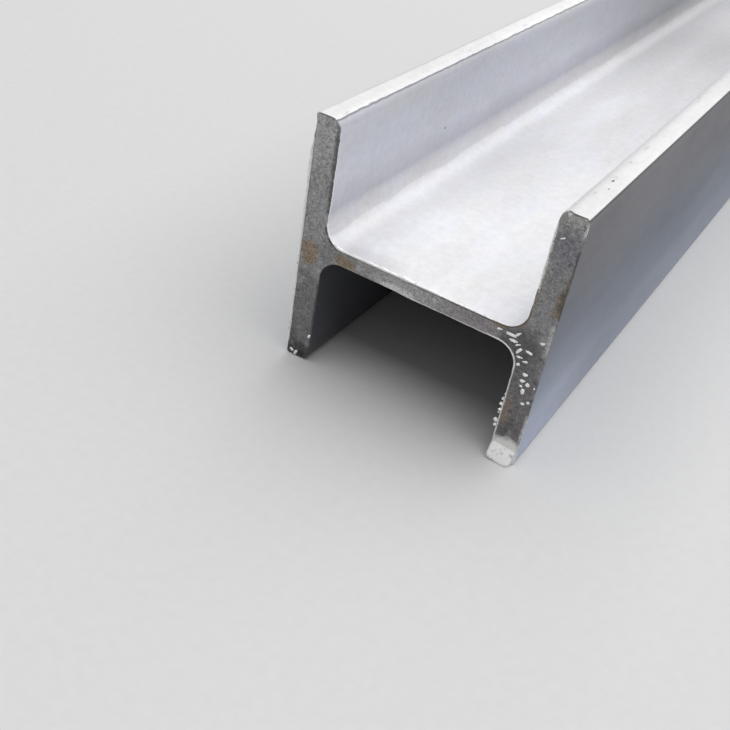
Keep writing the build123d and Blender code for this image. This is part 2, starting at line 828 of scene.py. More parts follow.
@dataclass(frozen=True)
class ScaleSkin:
    """Grey mill scale of the rolled faces over the mesh's tone, which holds painted light and shade: soft
    clouds drawn out along the beam, grain and a few specks.
    """

    section: RolledSection
    name: str = "mill_scale"
    metallic: float = 0.12
    roughness: float = 0.50
    cloud_size: float = 45.0 * MM
    patch_size: float = 12.0 * MM
    mottle_size: float = 3.0 * MM
    grain_size: float = 0.9 * MM
    speck_cell: float = 22.0 * MM
    bump: float = 0.10
    bump_depth: float = 0.4 * MM
    tint: Colour = (0.955, 0.960, 1.02)
    border_dots: Colour = (0.93, 0.93, 0.94)
    # The toe strip's lit and shaded copies: painted sheen on the upper toes, painted shade on the lower
    # ones.
    lit_toe: Colour = (0.870, 0.870, 0.875)
    shaded_toe: Colour = (0.40, 0.40, 0.41)
    scuffs: Colour = (0.50, 0.50, 0.52)
    specks: Colour = (0.10, 0.10, 0.11)
    grime: Colour = (0.06, 0.06, 0.062)
    bare: Colour = (0.90, 0.90, 0.90)

    def material(self) -> bpy.types.Material:
        """Makes the material: the mesh's tone with its painted light and shade, times clouds and grain, a
        crisp pale toe of painted sheen, and the mesh's coats.

        Returns:
            The material.
        """
        sheet = NodeSheet(self.name)
        still, drawn = sheet.place(), sheet.place(DRAWN_OUT)
        clouds = sheet.noise(drawn, self.cloud_size, 4.0, 0.6)
        patches = sheet.noise(drawn, self.patch_size)
        grain = sheet.noise(still, self.grain_size, 2.0)
        mottle = sheet.noise(still, self.mottle_size, 3.0, 0.65)
        light = sheet.product(
            sheet.vary(clouds, 0.93, 1.05),
            sheet.vary(patches, 0.945, 1.035),
            sheet.vary(grain, 0.96, 1.02),
            sheet.spread(mottle, 0.32, 0.68, 0.948, 1.036),
        )
        tone, bluish = sheet.attribute(TONE, "Color"), sheet.rise(patches, 0.44, 0.58, 0.55)
        colour = sheet.scale_colour(sheet.blend(bluish, tone, self.tint, "MULTIPLY"), light)
        colour = self._root_border(sheet, colour, grain)
        colour = self._toe(sheet, colour, light)
        colour = self._specks(sheet, colour, still)
        colour = sheet.coated(colour, Coat.RUST, grain, sheet.rusty(patches, grain), 0.8, 0.45)
        colour = sheet.coated(colour, Coat.GRIME, grain, self.grime, 0.85)
        colour = sheet.coated(colour, Coat.BARE, grain, self.bare, 1.0)
        rough = sheet.vary(clouds, self.roughness + 0.06, self.roughness - 0.05)
        rough = sheet.sum("ADD", rough, sheet.vary(grain, -0.04, 0.04))
        height = sheet.sum("ADD", sheet.sum("MULTIPLY", grain, 0.5), sheet.sum("MULTIPLY", patches, 0.9))
        return sheet.metal(colour, self.metallic, rough, height, self.bump, self.bump_depth)

    def _root_border(self, sheet: NodeSheet, colour: Socket, grain: Socket) -> Socket:
        """Darkens the root from a crisp border up to the flange, and sprinkles the border with pale dots.

        Args:
            sheet: the node tree.
            colour: the skin's colour.
            grain: its fine noise.

        Returns:
            The new colour.
        """
        border, root = self.section.web_run + 7.6 * MM, self.section.root_run
        run = sheet.shaken(sheet.attribute(RUN), sheet.noise(sheet.place(DRAWN_OUT), 6.0 * MM), 1.2 * MM)
        band = sheet.window(run, border, border + 0.6 * MM, root - 2.0 * MM, root + 3.0 * MM)
        colour = sheet.scale_colour(colour, sheet.fall(band, 0.0, 1.0, 0.87))
        dots = sheet.product(
            sheet.window(run, border - 1.2 * MM, border - 0.4 * MM, border + 0.8 * MM, border + 1.8 * MM),
            sheet.rise(grain, 0.62, 0.68, 0.8),
            sheet.attribute(UPPER),
        )
        return sheet.blend(dots, colour, self.border_dots)

    def _toe(self, sheet: NodeSheet, colour: Socket, light: Socket) -> Socket:
        """Lays the toe's pale ragged strip, a painted sheen that is lit on the upper toes and shaded on the
        lower ones, with a fine line of painted shade on each side of it and scuffs on it.

        Args:
            sheet: the node tree.
            colour: the skin's colour.
            light: the skin's clouds and grain.

        Returns:
            The new colour.
        """
        inner, outer = self.section.toe_run + 4.3 * MM, self.section.edge_run - 0.70 * MM
        run, left = sheet.attribute(RUN), sheet.attribute(LINE)
        wavy = sheet.shaken(run, sheet.noise(sheet.place((1.0, 0.5, 1.0)), 3.0 * MM), 0.35 * MM)
        inside = sheet.window(wavy, inner - 0.75 * MM, inner - 0.35 * MM, inner, inner + 0.2 * MM)
        outside = sheet.window(run, outer - 0.1 * MM, outer + 0.1 * MM, outer + 0.7 * MM, outer + 1.0 * MM)
        # Painted shade: the fine dark lines on each side of the strip.
        beside = sheet.sum("MAXIMUM", sheet.product(inside, left), outside)
        colour = sheet.scale_colour(colour, sheet.fall(beside, 0.0, 1.0, 0.43))
        strip = sheet.product(
            sheet.rise(wavy, inner, inner + 0.30 * MM), sheet.fall(run, outer - 0.3 * MM, outer)
        )
        slant = sheet.place(DRAWN_OUT, (0.0, 0.0, math.radians(40.0)))
        ticks = sheet.product(
            sheet.rise(sheet.noise(slant, 2.4 * MM, 3.0, 0.6), 0.60, 0.68, 0.55),
            sheet.fall(run, inner + 1.6 * MM, inner + 4.2 * MM, 0.25),
        )
        pale = sheet.blend(sheet.attribute(UPPER), self.shaded_toe, self.lit_toe)
        pale = sheet.scale_colour(pale, sheet.sum("MINIMUM", sheet.sum("ADD", light, 0.02), 1.04))
        # Painted light: the left toe is made lighter, and then drawn darker towards its outer edge.
        pale = sheet.scale_colour(pale, sheet.fall(left, 0.25, 1.0, 1.09))
        toe_outer_edge = sheet.product(sheet.rise(run, outer - 1.7 * MM, outer - 0.2 * MM), left)
        pale = sheet.scale_colour(pale, sheet.fall(toe_outer_edge, 0.25, 1.0, 0.68))
        return sheet.blend(strip, colour, sheet.blend(ticks, pale, self.scuffs))

    def _specks(self, sheet: NodeSheet, colour: Socket, still: Socket) -> Socket:
        """Adds a few small dark dots, one in some of the cells.

        Args:
            sheet: the node tree.
            colour: the skin's colour.
            still: object coordinates.

        Returns:
            The new colour.
        """
        inputs = {"Vector": still, "Scale": 1.0 / self.speck_cell, "Randomness": 1.0}
        speck = sheet.add("TexVoronoi", inputs, feature="F1")
        dot = sheet.fall(speck.outputs["Distance"], 0.014, 0.030)
        chosen = sheet.add("SeparateColor", {"Color": speck.outputs["Color"]}).outputs["Red"]
        return sheet.blend(sheet.product(dot, sheet.rise(chosen, 0.55, 0.60, 0.65)), colour, self.specks)


@dataclass(frozen=True)
class SawnSteel:
    """Coarse grey face of a sawn end, speckled light and dark, with the mesh's coats on it."""

    name: str = "sawn_face"
    metallic: float = 0.35
    roughness: float = 0.50
    speckle_size: float = 1.0 * MM
    worm_size: float = 2.3 * MM
    pit_size: float = 1.7 * MM
    fleck_size: float = 1.5 * MM
    grain_size: float = 0.42 * MM
    cloud_size: float = 6.0 * MM
    bump: float = 0.6
    bump_depth: float = 0.35 * MM
    grime: Colour = (0.035, 0.034, 0.034)
    bare: Colour = (0.93, 0.93, 0.915)

    def material(self) -> bpy.types.Material:
        """Makes the material: the mesh's tone times several sizes of speckle, under the mesh's coats.

        Returns:
            The material.
        """
        sheet = NodeSheet(self.name)
        still = sheet.place()
        coarse = sheet.noise(still, self.speckle_size, 3.0, 0.7, 1.6)
        fine = sheet.noise(still, self.grain_size, 2.0, 0.6)
        flecks = sheet.noise(still, self.fleck_size, 3.0, 0.7, 1.0)
        light = sheet.product(
            sheet.spread(coarse, 0.28, 0.72, 0.70, 1.31),
            sheet.vary(fine, 0.82, 1.19),
            sheet.vary(sheet.noise(still, self.worm_size, 2.0, 0.5, 2.4), 0.68, 1.33),
            sheet.fall(sheet.noise(still, self.pit_size, 1.0), 0.66, 0.72, 0.62),
            sheet.vary(sheet.noise(still, self.cloud_size), 0.90, 1.10),
        )
        colour = sheet.scale_colour(sheet.attribute(TONE, "Color"), light)
        colour = sheet.coated(colour, Coat.RUST, flecks, sheet.rusty(coarse, fine), 0.85, 0.22)
        colour = sheet.coated(colour, Coat.GRIME, coarse, self.grime, 0.85, 0.42)
        colour = sheet.coated(colour, Coat.BARE, coarse, self.bare, 1.0, 0.38)
        bare, rust = sheet.attribute(Coat.BARE.value), sheet.attribute(Coat.RUST.value)
        rough = sheet.vary(coarse, self.roughness + 0.12, self.roughness - 0.10)
        rough = sheet.sum("ADD", rough, sheet.vary(bare, 0.0, -0.14))
        metal = sheet.product(sheet.vary(bare, self.metallic, 0.15), sheet.fall(rust, 0.0, 1.0, 0.2))
        height = sheet.sum("ADD", coarse, sheet.sum("MULTIPLY", fine, 0.5))
        return sheet.metal(colour, metal, rough, height, self.bump, self.bump_depth)


@dataclass(frozen=True)
class BareSteel:
    """Fresh bright metal of burrs, chips and drops."""

    name: str = "bare_steel"
    metallic: float = 0.45
    roughness: float = 0.34
    patch_size: float = 1.3 * MM
    grain_size: float = 0.3 * MM
    bump: float = 0.25
    bump_depth: float = 0.1 * MM
    bright: Colour = (0.95, 0.95, 0.94)
    dull: Colour = (0.55, 0.54, 0.53)

    def material(self) -> bpy.types.Material:
        """Makes the material: bright metal with duller patches and fine dimples.

        Returns:
            The material.
        """
        sheet = NodeSheet(self.name)
        still = sheet.place()
        patches = sheet.noise(still, self.patch_size, 2.0, 0.5)
        colour = sheet.blend(sheet.rise(patches, 0.54, 0.74), self.bright, self.dull)
        rough = sheet.vary(patches, self.roughness - 0.06, self.roughness + 0.14)
        grain = sheet.noise(still, self.grain_size, 2.0)
        return sheet.metal(colour, self.metallic, rough, grain, self.bump, self.bump_depth)


@dataclass(frozen=True)
class DarkScale:
    """Dull dark scale of the small dots and dents on the rolled faces."""

    name: str = "dark_scale"
    colour: Colour = (0.16, 0.16, 0.17)
    lighter: Colour = (0.24, 0.24, 0.25)
    grain_size: float = 0.5 * MM
    roughness: float = 0.7

    def material(self) -> bpy.types.Material:
        """Makes the material: a dull colour with a fine grain.

        Returns:
            The material.
        """
        sheet = NodeSheet(self.name)
        grain = sheet.noise(sheet.place(), self.grain_size, 2.0)
        colour = sheet.blend(sheet.vary(grain, 0.0, 0.5), self.colour, self.lighter)
        inputs = {"Base Color": colour, "Roughness": self.roughness}
        return sheet.finish(sheet.add("BsdfPrincipled", inputs).outputs["BSDF"])


@dataclass(frozen=True)
class PaleFloor:
    """Plain pale matt floor that passes over into the backdrop at some way from the beam."""

    name: str = "studio_floor"
    colour: Colour = (0.84, 0.84, 0.84)
    roughness: float = 0.85
    grain_size: float = 4.0 * MM
    half_beam: float = 3.0
    fade_from: float = 1.3
    fade_to: float = 3.6

    def material(self) -> bpy.types.Material:
        """Makes the material: matt with a faint grain, blended by the way from the beam into a plain glow.

        Returns:
            The material.
        """
        sheet = NodeSheet(self.name)
        still = sheet.place()
        light = sheet.vary(sheet.noise(still, self.grain_size, 4.0), 0.985, 1.015)
        base = sheet.add("CombineColor", {"Red": light, "Green": light, "Blue": light}).outputs["Color"]
        colour = sheet.blend(1.0, base, self.colour, "MULTIPLY")
        matt = sheet.add("BsdfPrincipled", {"Base Color": colour, "Roughness": self.roughness})
        spot = sheet.add("SeparateXYZ", {"Vector": still}).outputs
        past = sheet.sum("SUBTRACT", sheet.sum("ABSOLUTE", spot["Y"]), self.half_beam)
        past = sheet.sum("MAXIMUM", past, 0.0)
        way = sheet.add("CombineXYZ", {"X": spot["X"], "Y": past, "Z": 0.0}).outputs["Vector"]
        length = sheet.add("VectorMath", {"Vector": way}, operation="LENGTH").outputs["Value"]
        glow = sheet.add("Emission", {"Color": BACKDROP, "Strength": 1.0})
        fade = sheet.rise(length, self.fade_from, self.fade_to)
        shader = sheet.add("MixShader", {0: fade, 1: matt.outputs["BSDF"], 2: glow.outputs["Emission"]})
        return sheet.finish(shader.outputs["Shader"])


# Meshes


def make_piece(
    name: str, points: np.ndarray, faces: np.ndarray, *materials: bpy.types.Material
) -> bpy.types.Object:
    """Puts points and smooth faces into a new object at the origin and reports it.

    Args:
        name: the piece's name.
        points: (n, 3) places in metres.
        faces: point numbers of each face, turned outwards.
        materials: the piece's materials.

    Returns:
        The object.
    """
    mesh = bpy.data.meshes.new(name)
    mesh.from_pydata(points.tolist(), [], faces.tolist())
    mesh.update()
    mesh.polygons.foreach_set("use_smooth", np.full(len(mesh.polygons), True))
    for material in materials:
        mesh.materials.append(material)
    piece = bpy.data.objects.new(name, mesh)
    bpy.context.scene.collection.objects.link(piece)
    triangles = len(mesh.loops) - 2 * len(mesh.polygons)
    LOG.info("%s: %d points, %d triangles", name, len(points), triangles)
    return piece


def add_number(mesh: bpy.types.Mesh, name: str, values: np.ndarray) -> None:
    """Keeps one number for each point as an attribute."""
    mesh.attributes.new(name, "FLOAT", "POINT").data.foreach_set("value", values.astype(np.float32))


def add_colour(mesh: bpy.types.Mesh, name: str, values: np.ndarray) -> None:
    """Keeps one colour for each point as an attribute."""
    rgba = np.column_stack([values, np.ones(len(values))]).astype(np.float32)
    mesh.attributes.new(name, "FLOAT_COLOR", "POINT").data.foreach_set("color", rgba.ravel())


@dataclass(frozen=True)
class Ring:
    """A ring or more of points round the section, and the part of the surface that it ends.

    Each point has its place, its number on the outline, and its distances inside the rim and past it.
    """

    points: np.ndarray
    picked: np.ndarray
    inset: np.ndarray
    past: np.ndarray
    patch: Patch = Patch.SKIN


@dataclass(frozen=True)
class FlatMap:
    """Where the surface lies on the flat map.

    The skin is unrolled in six lengths of a metre, three side by side in two rows, and the sawn faces lie in
    the strip that is left, at a larger scale.
    """

    lengths: int = 6
    lengths_across: int = 3
    left: float = 0.006
    bottom: float = 0.004
    column: float = 0.277
    row: float = 0.500
    skin_width: float = 0.262
    skin_height: float = 0.488
    face_left: float = 0.838
    face_scale: float = 1.52
    near_bottom: float = 0.01
    far_bottom: float = 0.20

    def places(
        self, corners: np.ndarray, share: np.ndarray, patches: np.ndarray, near_y: float, half_depth: float
    ) -> np.ndarray:
        """Places of the triangles' corners on the map.

        Args:
            corners: (m, 3, 3) places of the corners.
            share: (m, 3) their travel along the outline, over the outline's length.
            patches: (m,) the part that each triangle belongs to.
            near_y: the near end's plane.
            half_depth: half the section's depth.

        Returns:
            (m, 3, 2) places between 0 and 1.
        """
        wraps = share.max(axis=1) - share.min(axis=1) > 0.5
        share = np.where(wraps[:, None] & (share < 0.5), share + 1.0, share)
        length = corners[..., 1].mean(axis=1) - near_y
        tile = np.clip(np.floor(length), 0, self.lengths - 1)[:, None]
        column, row = tile % self.lengths_across, tile // self.lengths_across
        places = np.empty((len(corners), 3, 2))
        places[..., 0] = self.left + column * self.column + share * self.skin_width
        places[..., 1] = self.bottom + row * self.row + (corners[..., 1] - near_y - tile) * self.skin_height
        for patch, low in ((Patch.NEAR_FACE, self.near_bottom), (Patch.FAR_FACE, self.far_bottom)):
            chosen = patches == patch.value
            places[chosen, :, 0] = self.face_left + (corners[chosen, :, 0] + half_depth) * self.face_scale
            places[chosen, :, 1] = low + corners[chosen, :, 2] * self.face_scale
        return places


@dataclass(frozen=True)
class RolledBeam:
    """The beam as one closed surface: the near sawn face, the rolled skin and the far sawn face.

    Beside each end the skin has fine stations, in millimetres from it. Along the beam its rings have even
    steps at first and growing ones from there, with a ring at each metre for the flat map.
    """

    section: RolledSection
    middle_z: float
    near: SawnEnd
    far: SawnEnd
    tones: SkinTonesAndPaintedLight
    skin: ScaleSkin
    sawn: SawnSteel
    flat_map: FlatMap = FlatMap()
    coarse_step: int = 4
    fine_reach: float = 30.0 * MM
    fine_stations: tuple[float, ...] = (0.35, 0.75, 1.3, 2.0, 2.9, 4.1, 5.7, 7.9, 10.8, 14.8, 19.8, 25.3)
    even_step: float = 6.0 * MM
    even_reach: float = 0.42
    growth: float = 1.07
    longest_step: float = 0.110
    joint_step: float = 1.0
    joint_gap: float = 8.0 * MM
    toe_wave: float = 0.13 * MM
    toe_wave_size: float = 16.0 * MM
    toe_wave_seed: int = 71
    # Painted shade: the skin darkens by this share between the next two distances inside either end.
    far_shade: float = 0.29
    far_shade_from: float = 200.0 * MM
    far_shade_to: float = 420.0 * MM
    right_line: float = 0.05

    def _stations(self) -> np.ndarray:
        """Places along Y of the rings between the two ends' fine ones.

        Returns:
            The places, in order.
        """
        near_y, far_y = self.near.plane_y, self.far.plane_y
        even = np.arange(near_y + self.fine_reach, near_y + self.even_reach, self.even_step)
        step, place, growing = self.even_step, even[-1], []
        while place < far_y - self.fine_reach - 1.5 * step:
            place += step
            growing.append(place)
            step = min(step * self.growth, self.longest_step)
        joints = np.arange(near_y + self.joint_step, far_y - self.joint_step / 2, self.joint_step)
        spread = np.concatenate([even, growing])
        clear = np.min(np.abs(spread[:, None] - joints), axis=1) > self.joint_gap
        return np.sort(np.concatenate([spread[clear], joints]))

    def _skin_points(self, outline: Outline, picked: np.ndarray, y: np.ndarray) -> np.ndarray:
        """Points of the skin: the outline's, with the toes' inner corners waving by noise along the beam.

        Args:
            outline: the section's outline.
            picked: numbers of the outline's points.
            y: place of each along the beam.

        Returns:
            (n, 3) places.
        """
        run, toe = outline.run[picked], self.section.toe_run
        corner = smooth_step(run, toe - 1.5 * MM, toe + 2.0 * MM)
        corner *= 1.0 - smooth_step(run, toe + 2.6 * MM, toe + 6.0 * MM)
        way = np.stack([outline.side[picked], y, outline.level[picked]], axis=-1) * np.array([0.5, 1.0, 0.5])
        wave = layered_noise(way, self.toe_wave_size, 3, self.toe_wave_seed)
        shift = self.toe_wave * corner * (wave - 0.45)
        return stand_up(outline.place[picked] + outline.normal[picked] * shift[:, None], y, self.middle_z)

    def _end_rings(self, sawn: SawnEnd, outline: Outline) -> list[Ring]:
        """Rings of one end from its spine out to the rim and along the skin to fine_reach.

        On the face a point lies on the way from the outline to the spine. The rim is a quarter circle from
        the face to the skin, and the skin's first rings draw back by the bevel's width, less with each.

        Args:
            sawn: the end.
            outline: the section's outline.

        Returns:
            The rings, the spine first.
        """
        picked = np.arange(len(outline.run))
        facing = float(sawn.face.value)
        bevel = sawn.bevel_width(outline)
        inwards = outline.spine - outline.place
        reach = np.linalg.norm(inwards, axis=1)
        inwards /= reach[:, None]
        none = np.zeros(len(picked))

        def face_ring(inset: np.ndarray, depth: np.ndarray, share: float, patch: Patch) -> Ring:
            """A ring of the face or the rim.

            Args:
                inset: each point's distance inside the rim.
                depth: how far it lies behind the end plane.
                share: how much of the face's relief it has.
                patch: the part that the ring ends.

            Returns:
                The ring.
            """
            flat = outline.place + inwards * inset[:, None]
            relief = sawn.relief(stand_up(flat, none, 0.0))
            y = sawn.plane_y - facing * (depth + relief * share)
            return Ring(stand_up(flat, y, self.middle_z), picked, inset, none, patch)

        rings = []
        for share in np.linspace(1.0, 0.0, sawn.face_rings + 1):
            rings.append(face_ring(bevel + (reach - bevel) * share**1.5, none, 1.0, sawn.face))
        for angle in np.radians(np.linspace(90.0, 0.0, sawn.rim_rings + 1)[1:]):
            inset, depth = bevel * (1.0 - math.cos(angle)), bevel * (1.0 - math.sin(angle))
            rings.append(face_ring(inset, depth, math.sin(angle), Patch.SKIN))
        for station in np.array(self.fine_stations) * MM:
            y = sawn.plane_y - facing * (station + bevel * math.exp(-station / (3.0 * MM)))
            points = self._skin_points(outline, picked, y)
            rings.append(Ring(points, picked, none, none + station))
        return rings

    def _all_rings(self, outline: Outline) -> list[Ring]:
        """Every ring from the near end's spine to the far end's spine.

        Args:
            outline: the section's outline.

        Returns:
            The rings. Those along the beam have every fourth outline point.
        """
        picked = np.arange(0, len(outline.run), self.coarse_step)
        none, ones = np.zeros(len(picked)), np.ones(len(picked))
        body = [
            Ring(self._skin_points(outline, picked, ones * y), picked, none, ones) for y in self._stations()
        ]
        return self._end_rings(self.near, outline) + body + self._end_rings(self.far, outline)[::-1]

    @staticmethod
    def _strip(first: np.ndarray, second: np.ndarray) -> np.ndarray:
        """Triangles between two closed rings of point numbers.

        Each step of two like rings has two triangles. Where one ring has four times the other's points, five
        fan over each step of the coarser one.

        Args:
            first: point numbers of the ring nearer the near end.
            second: point numbers of the other ring.

        Returns:
            (n, 3) point numbers.
        """
        if len(first) == len(second):
            beyond = np.roll(second, -1)
            fan = [(first, np.roll(first, -1), beyond), (first, beyond, second)]
            return np.concatenate([np.stack(corners, axis=-1) for corners in fan])
        coarse, fine = sorted((first, second), key=len)
        f0, f1, f2, f3, f4 = (np.roll(fine, -shift)[:: len(fine) // len(coarse)] for shift in range(5))
        low, high = coarse, np.roll(coarse, -1)
        fan = [(f0, f1, low), (f1, f2, low), (f2, high, low), (f2, f3, high), (f3, f4, high)]
        turn = 1 if len(first) > len(second) else -1
        return np.concatenate([np.stack(corners[::turn], axis=-1) for corners in fan])

    @staticmethod
    def _merged(points: np.ndarray, numbers: np.ndarray) -> np.ndarray:
        """Point numbers of a spine ring, with one number for all points at the same place."""
        _, first, which = np.unique(np.round(points, 6), axis=0, return_index=True, return_inverse=True)
        return numbers[first][which.ravel()]

    def build(self) -> bpy.types.Object:
        """Builds the surface, its colours and its flat map, and lets it stand for the solid.

        Returns:
            The piece.
        """
        outline = self.section.outline()
        rings = self._all_rings(outline)
        starts = np.cumsum([0] + [len(ring.picked) for ring in rings])
        numbers = [np.arange(start, start + len(ring.picked)) for start, ring in zip(starts, rings)]
        for last in (0, -1):
            numbers[last] = self._merged(rings[last].points, numbers[last])
        strips = [self._strip(first, second) for first, second in zip(numbers, numbers[1:])]
        ends = [low.patch if low.patch is high.patch else Patch.SKIN for low, high in zip(rings, rings[1:])]
        patches = np.concatenate([np.full(len(strip), end.value) for strip, end in zip(strips, ends)])
        faces = np.concatenate(strips)
        sound = np.all(faces != np.roll(faces, -1, axis=1), axis=1)
        faces, patches = faces[sound], patches[sound]
        used, renumbered = np.unique(faces, return_inverse=True)
        faces = renumbered.reshape(faces.shape)
        parts = ("points", "picked", "inset", "past")
        surface = Ring(*(np.concatenate([getattr(ring, part) for ring in rings])[used] for part in parts))
        points = surface.points
        share = outline.travel[surface.picked] / outline.travel[-1]
        piece = make_piece("rolled_beam", points, faces, self.skin.material(), self.sawn.material())
        mesh = piece.data
        mesh.polygons.foreach_set("material_index", (patches != Patch.SKIN.value).astype(np.int32))
        flat = self.flat_map.places(
            points[faces], share[faces], patches, self.near.plane_y, self.section.half_depth
        )
        mesh.uv_layers.new(name=BAKE_MAP).uv.foreach_set("vector", flat.astype(np.float32).ravel())
        self._paint(mesh, outline, surface)
        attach(piece, "root")
        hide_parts(BEAM_NODE)
        return piece

    def _paint(self, mesh: bpy.types.Mesh, outline: Outline, surface: Ring) -> None:
        """Keeps each point's tone with its painted light and shade, coats, run, level and line strength as
        attributes.

        Args:
            mesh: the surface.
            outline: the section's outline.
            surface: the surface's points.
        """
        points, picked = surface.points, surface.picked
        run, side, level = outline.run[picked], outline.side[picked], outline.level[picked]
        travel, whole = outline.travel[picked], self.section.whole
        middle = points - np.array([0.0, 0.0, self.middle_z])
        tone = self.tones.on_skin(self.section, run, side, level)
        # Painted shade: the skin grows darker farther inside from either end.
        inside = np.minimum(points[:, 1] - self.near.plane_y, self.far.plane_y - points[:, 1])
        tone *= 1.0 - self.far_shade * smooth_step(inside, self.far_shade_from, self.far_shade_to)[:, None]
        coats = {coat: np.zeros(len(points)) for coat in Coat}
        for sawn in (self.near, self.far):
            away = np.abs(points[:, 1] - sawn.plane_y)
            mine = away < self.fine_reach - 1.0 * MM
            past = np.where(mine, surface.past, away)
            at = SurfacePoints(middle, travel, whole, surface.inset * mine, past)
            sawn.paint(at, tone, coats)
        add_colour(mesh, TONE, np.clip(tone, 0.0, 1.0))
        add_number(mesh, RUN, run)
        add_number(mesh, UPPER, (level > 0.0).astype(float))
        add_number(mesh, LINE, np.where(side < 0.0, 1.0, self.right_line))
        for coat, strength in coats.items():
            add_number(mesh, coat.value, strength)


@dataclass(frozen=True)
class SawBurr:
    """Thin lips of burr that the saw pushed over the rim, one tube for each stretch.

    A lip thins out over the taper at each end, and its middle lies a little behind the end plane.
    """

    section: RolledSection
    plane_y: float
    middle_z: float
    stretches: tuple[RimStretch, ...]
    finish: BareSteel
    step: float = 0.35 * MM
    sides: int = 8
    taper: float = 5.0 * MM
    least: float = 0.004 * MM
    behind: float = 0.10 * MM
    first_seed: int = 200
    seed_step: int = 7

    def lip(self, outline: Outline, stretch: RimStretch, seed: int) -> tuple[np.ndarray, np.ndarray]:
        """One lip.

        An oval is carried along the rim. Its radii shrink to nothing at both ends and vary by noise on the
        way, and its middle stands off the rim by the same noise.

        Args:
            outline: the section's outline.
            stretch: where the lip runs, and its thickness.
            seed: another seed gives another ragged lip.

        Returns:
            Points (n, 3) and triangles (m, 3).
        """
        whole = outline.travel[-1]
        length = (stretch.stop - stretch.start) % whole
        count = max(int(length / self.step), 6)
        way = np.linspace(0.0, length, count)
        travel = (stretch.start + way) % whole
        place = self._read(outline, outline.place, travel)
        normal = self._read(outline, outline.normal, travel)
        normal /= np.linalg.norm(normal, axis=1, keepdims=True)
        ends = smooth_step(way, 0.0, self.taper) * (1.0 - smooth_step(way, length - self.taper, length))
        ragged = layered_noise(line_places(way, seed), 4.0 * MM, 4, seed)
        size = stretch.size * ends * np.clip(0.85 + 0.32 * ragged, 0.12, None) + self.least
        angle = np.linspace(0.0, 2.0 * math.pi, self.sides, endpoint=False)
        out = size[:, None] * (0.32 + 0.42 * np.cos(angle)[None, :])
        along = size[:, None] * (0.42 * np.sin(angle)[None, :] - 0.02)
        flat = place[:, None, :] + normal[:, None, :] * out[..., None]
        points = stand_up(flat, self.plane_y + self.behind + along, self.middle_z)
        fan = np.arange(1, self.sides - 1)
        first = np.stack([np.zeros_like(fan), fan, fan + 1], axis=-1)
        last = np.stack([np.zeros_like(fan), fan + 1, fan], axis=-1) + (count - 1) * self.sides
        return points.reshape(-1, 3), np.concatenate([tube_faces(count, self.sides), first, last])

    @staticmethod
    def _read(outline: Outline, values: np.ndarray, wanted: np.ndarray) -> np.ndarray:
        """Values of the closed outline, read between its points."""
        closed = np.concatenate([values, values[:1]])
        return np.stack([np.interp(wanted, outline.travel, column) for column in closed.T], axis=-1)

    def build(self) -> bpy.types.Object:
        """Builds all lips as one piece.

        Returns:
            The piece.
        """
        outline = self.section.outline()
        points, faces, start = [], [], 0
        for number, stretch in enumerate(self.stretches):
            lip, triangles = self.lip(outline, stretch, self.first_seed + self.seed_step * number)
            points.append(lip)
            faces.append(triangles + start)
            start += len(lip)
        piece = make_piece("saw_burr", np.concatenate(points), np.concatenate(faces), self.finish.material())
        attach(piece, "root")
        return piece


@dataclass(frozen=True)
class Drop:
    """A small lump on the surface: its place and half-sizes in millimetres, and its turn about Y in degrees.

    x and z are measured from the section's middle, and y from the near sawn end. A square of 1 is a ball and
    one near 0 a box. A lump that leans stands farther out below than above.
    """

    x: float
    y: float
    z: float
    half_x: float
    half_y: float
    half_z: float
    turn: float = 0.0
    square: float = 1.0
    lean: float = 0.0


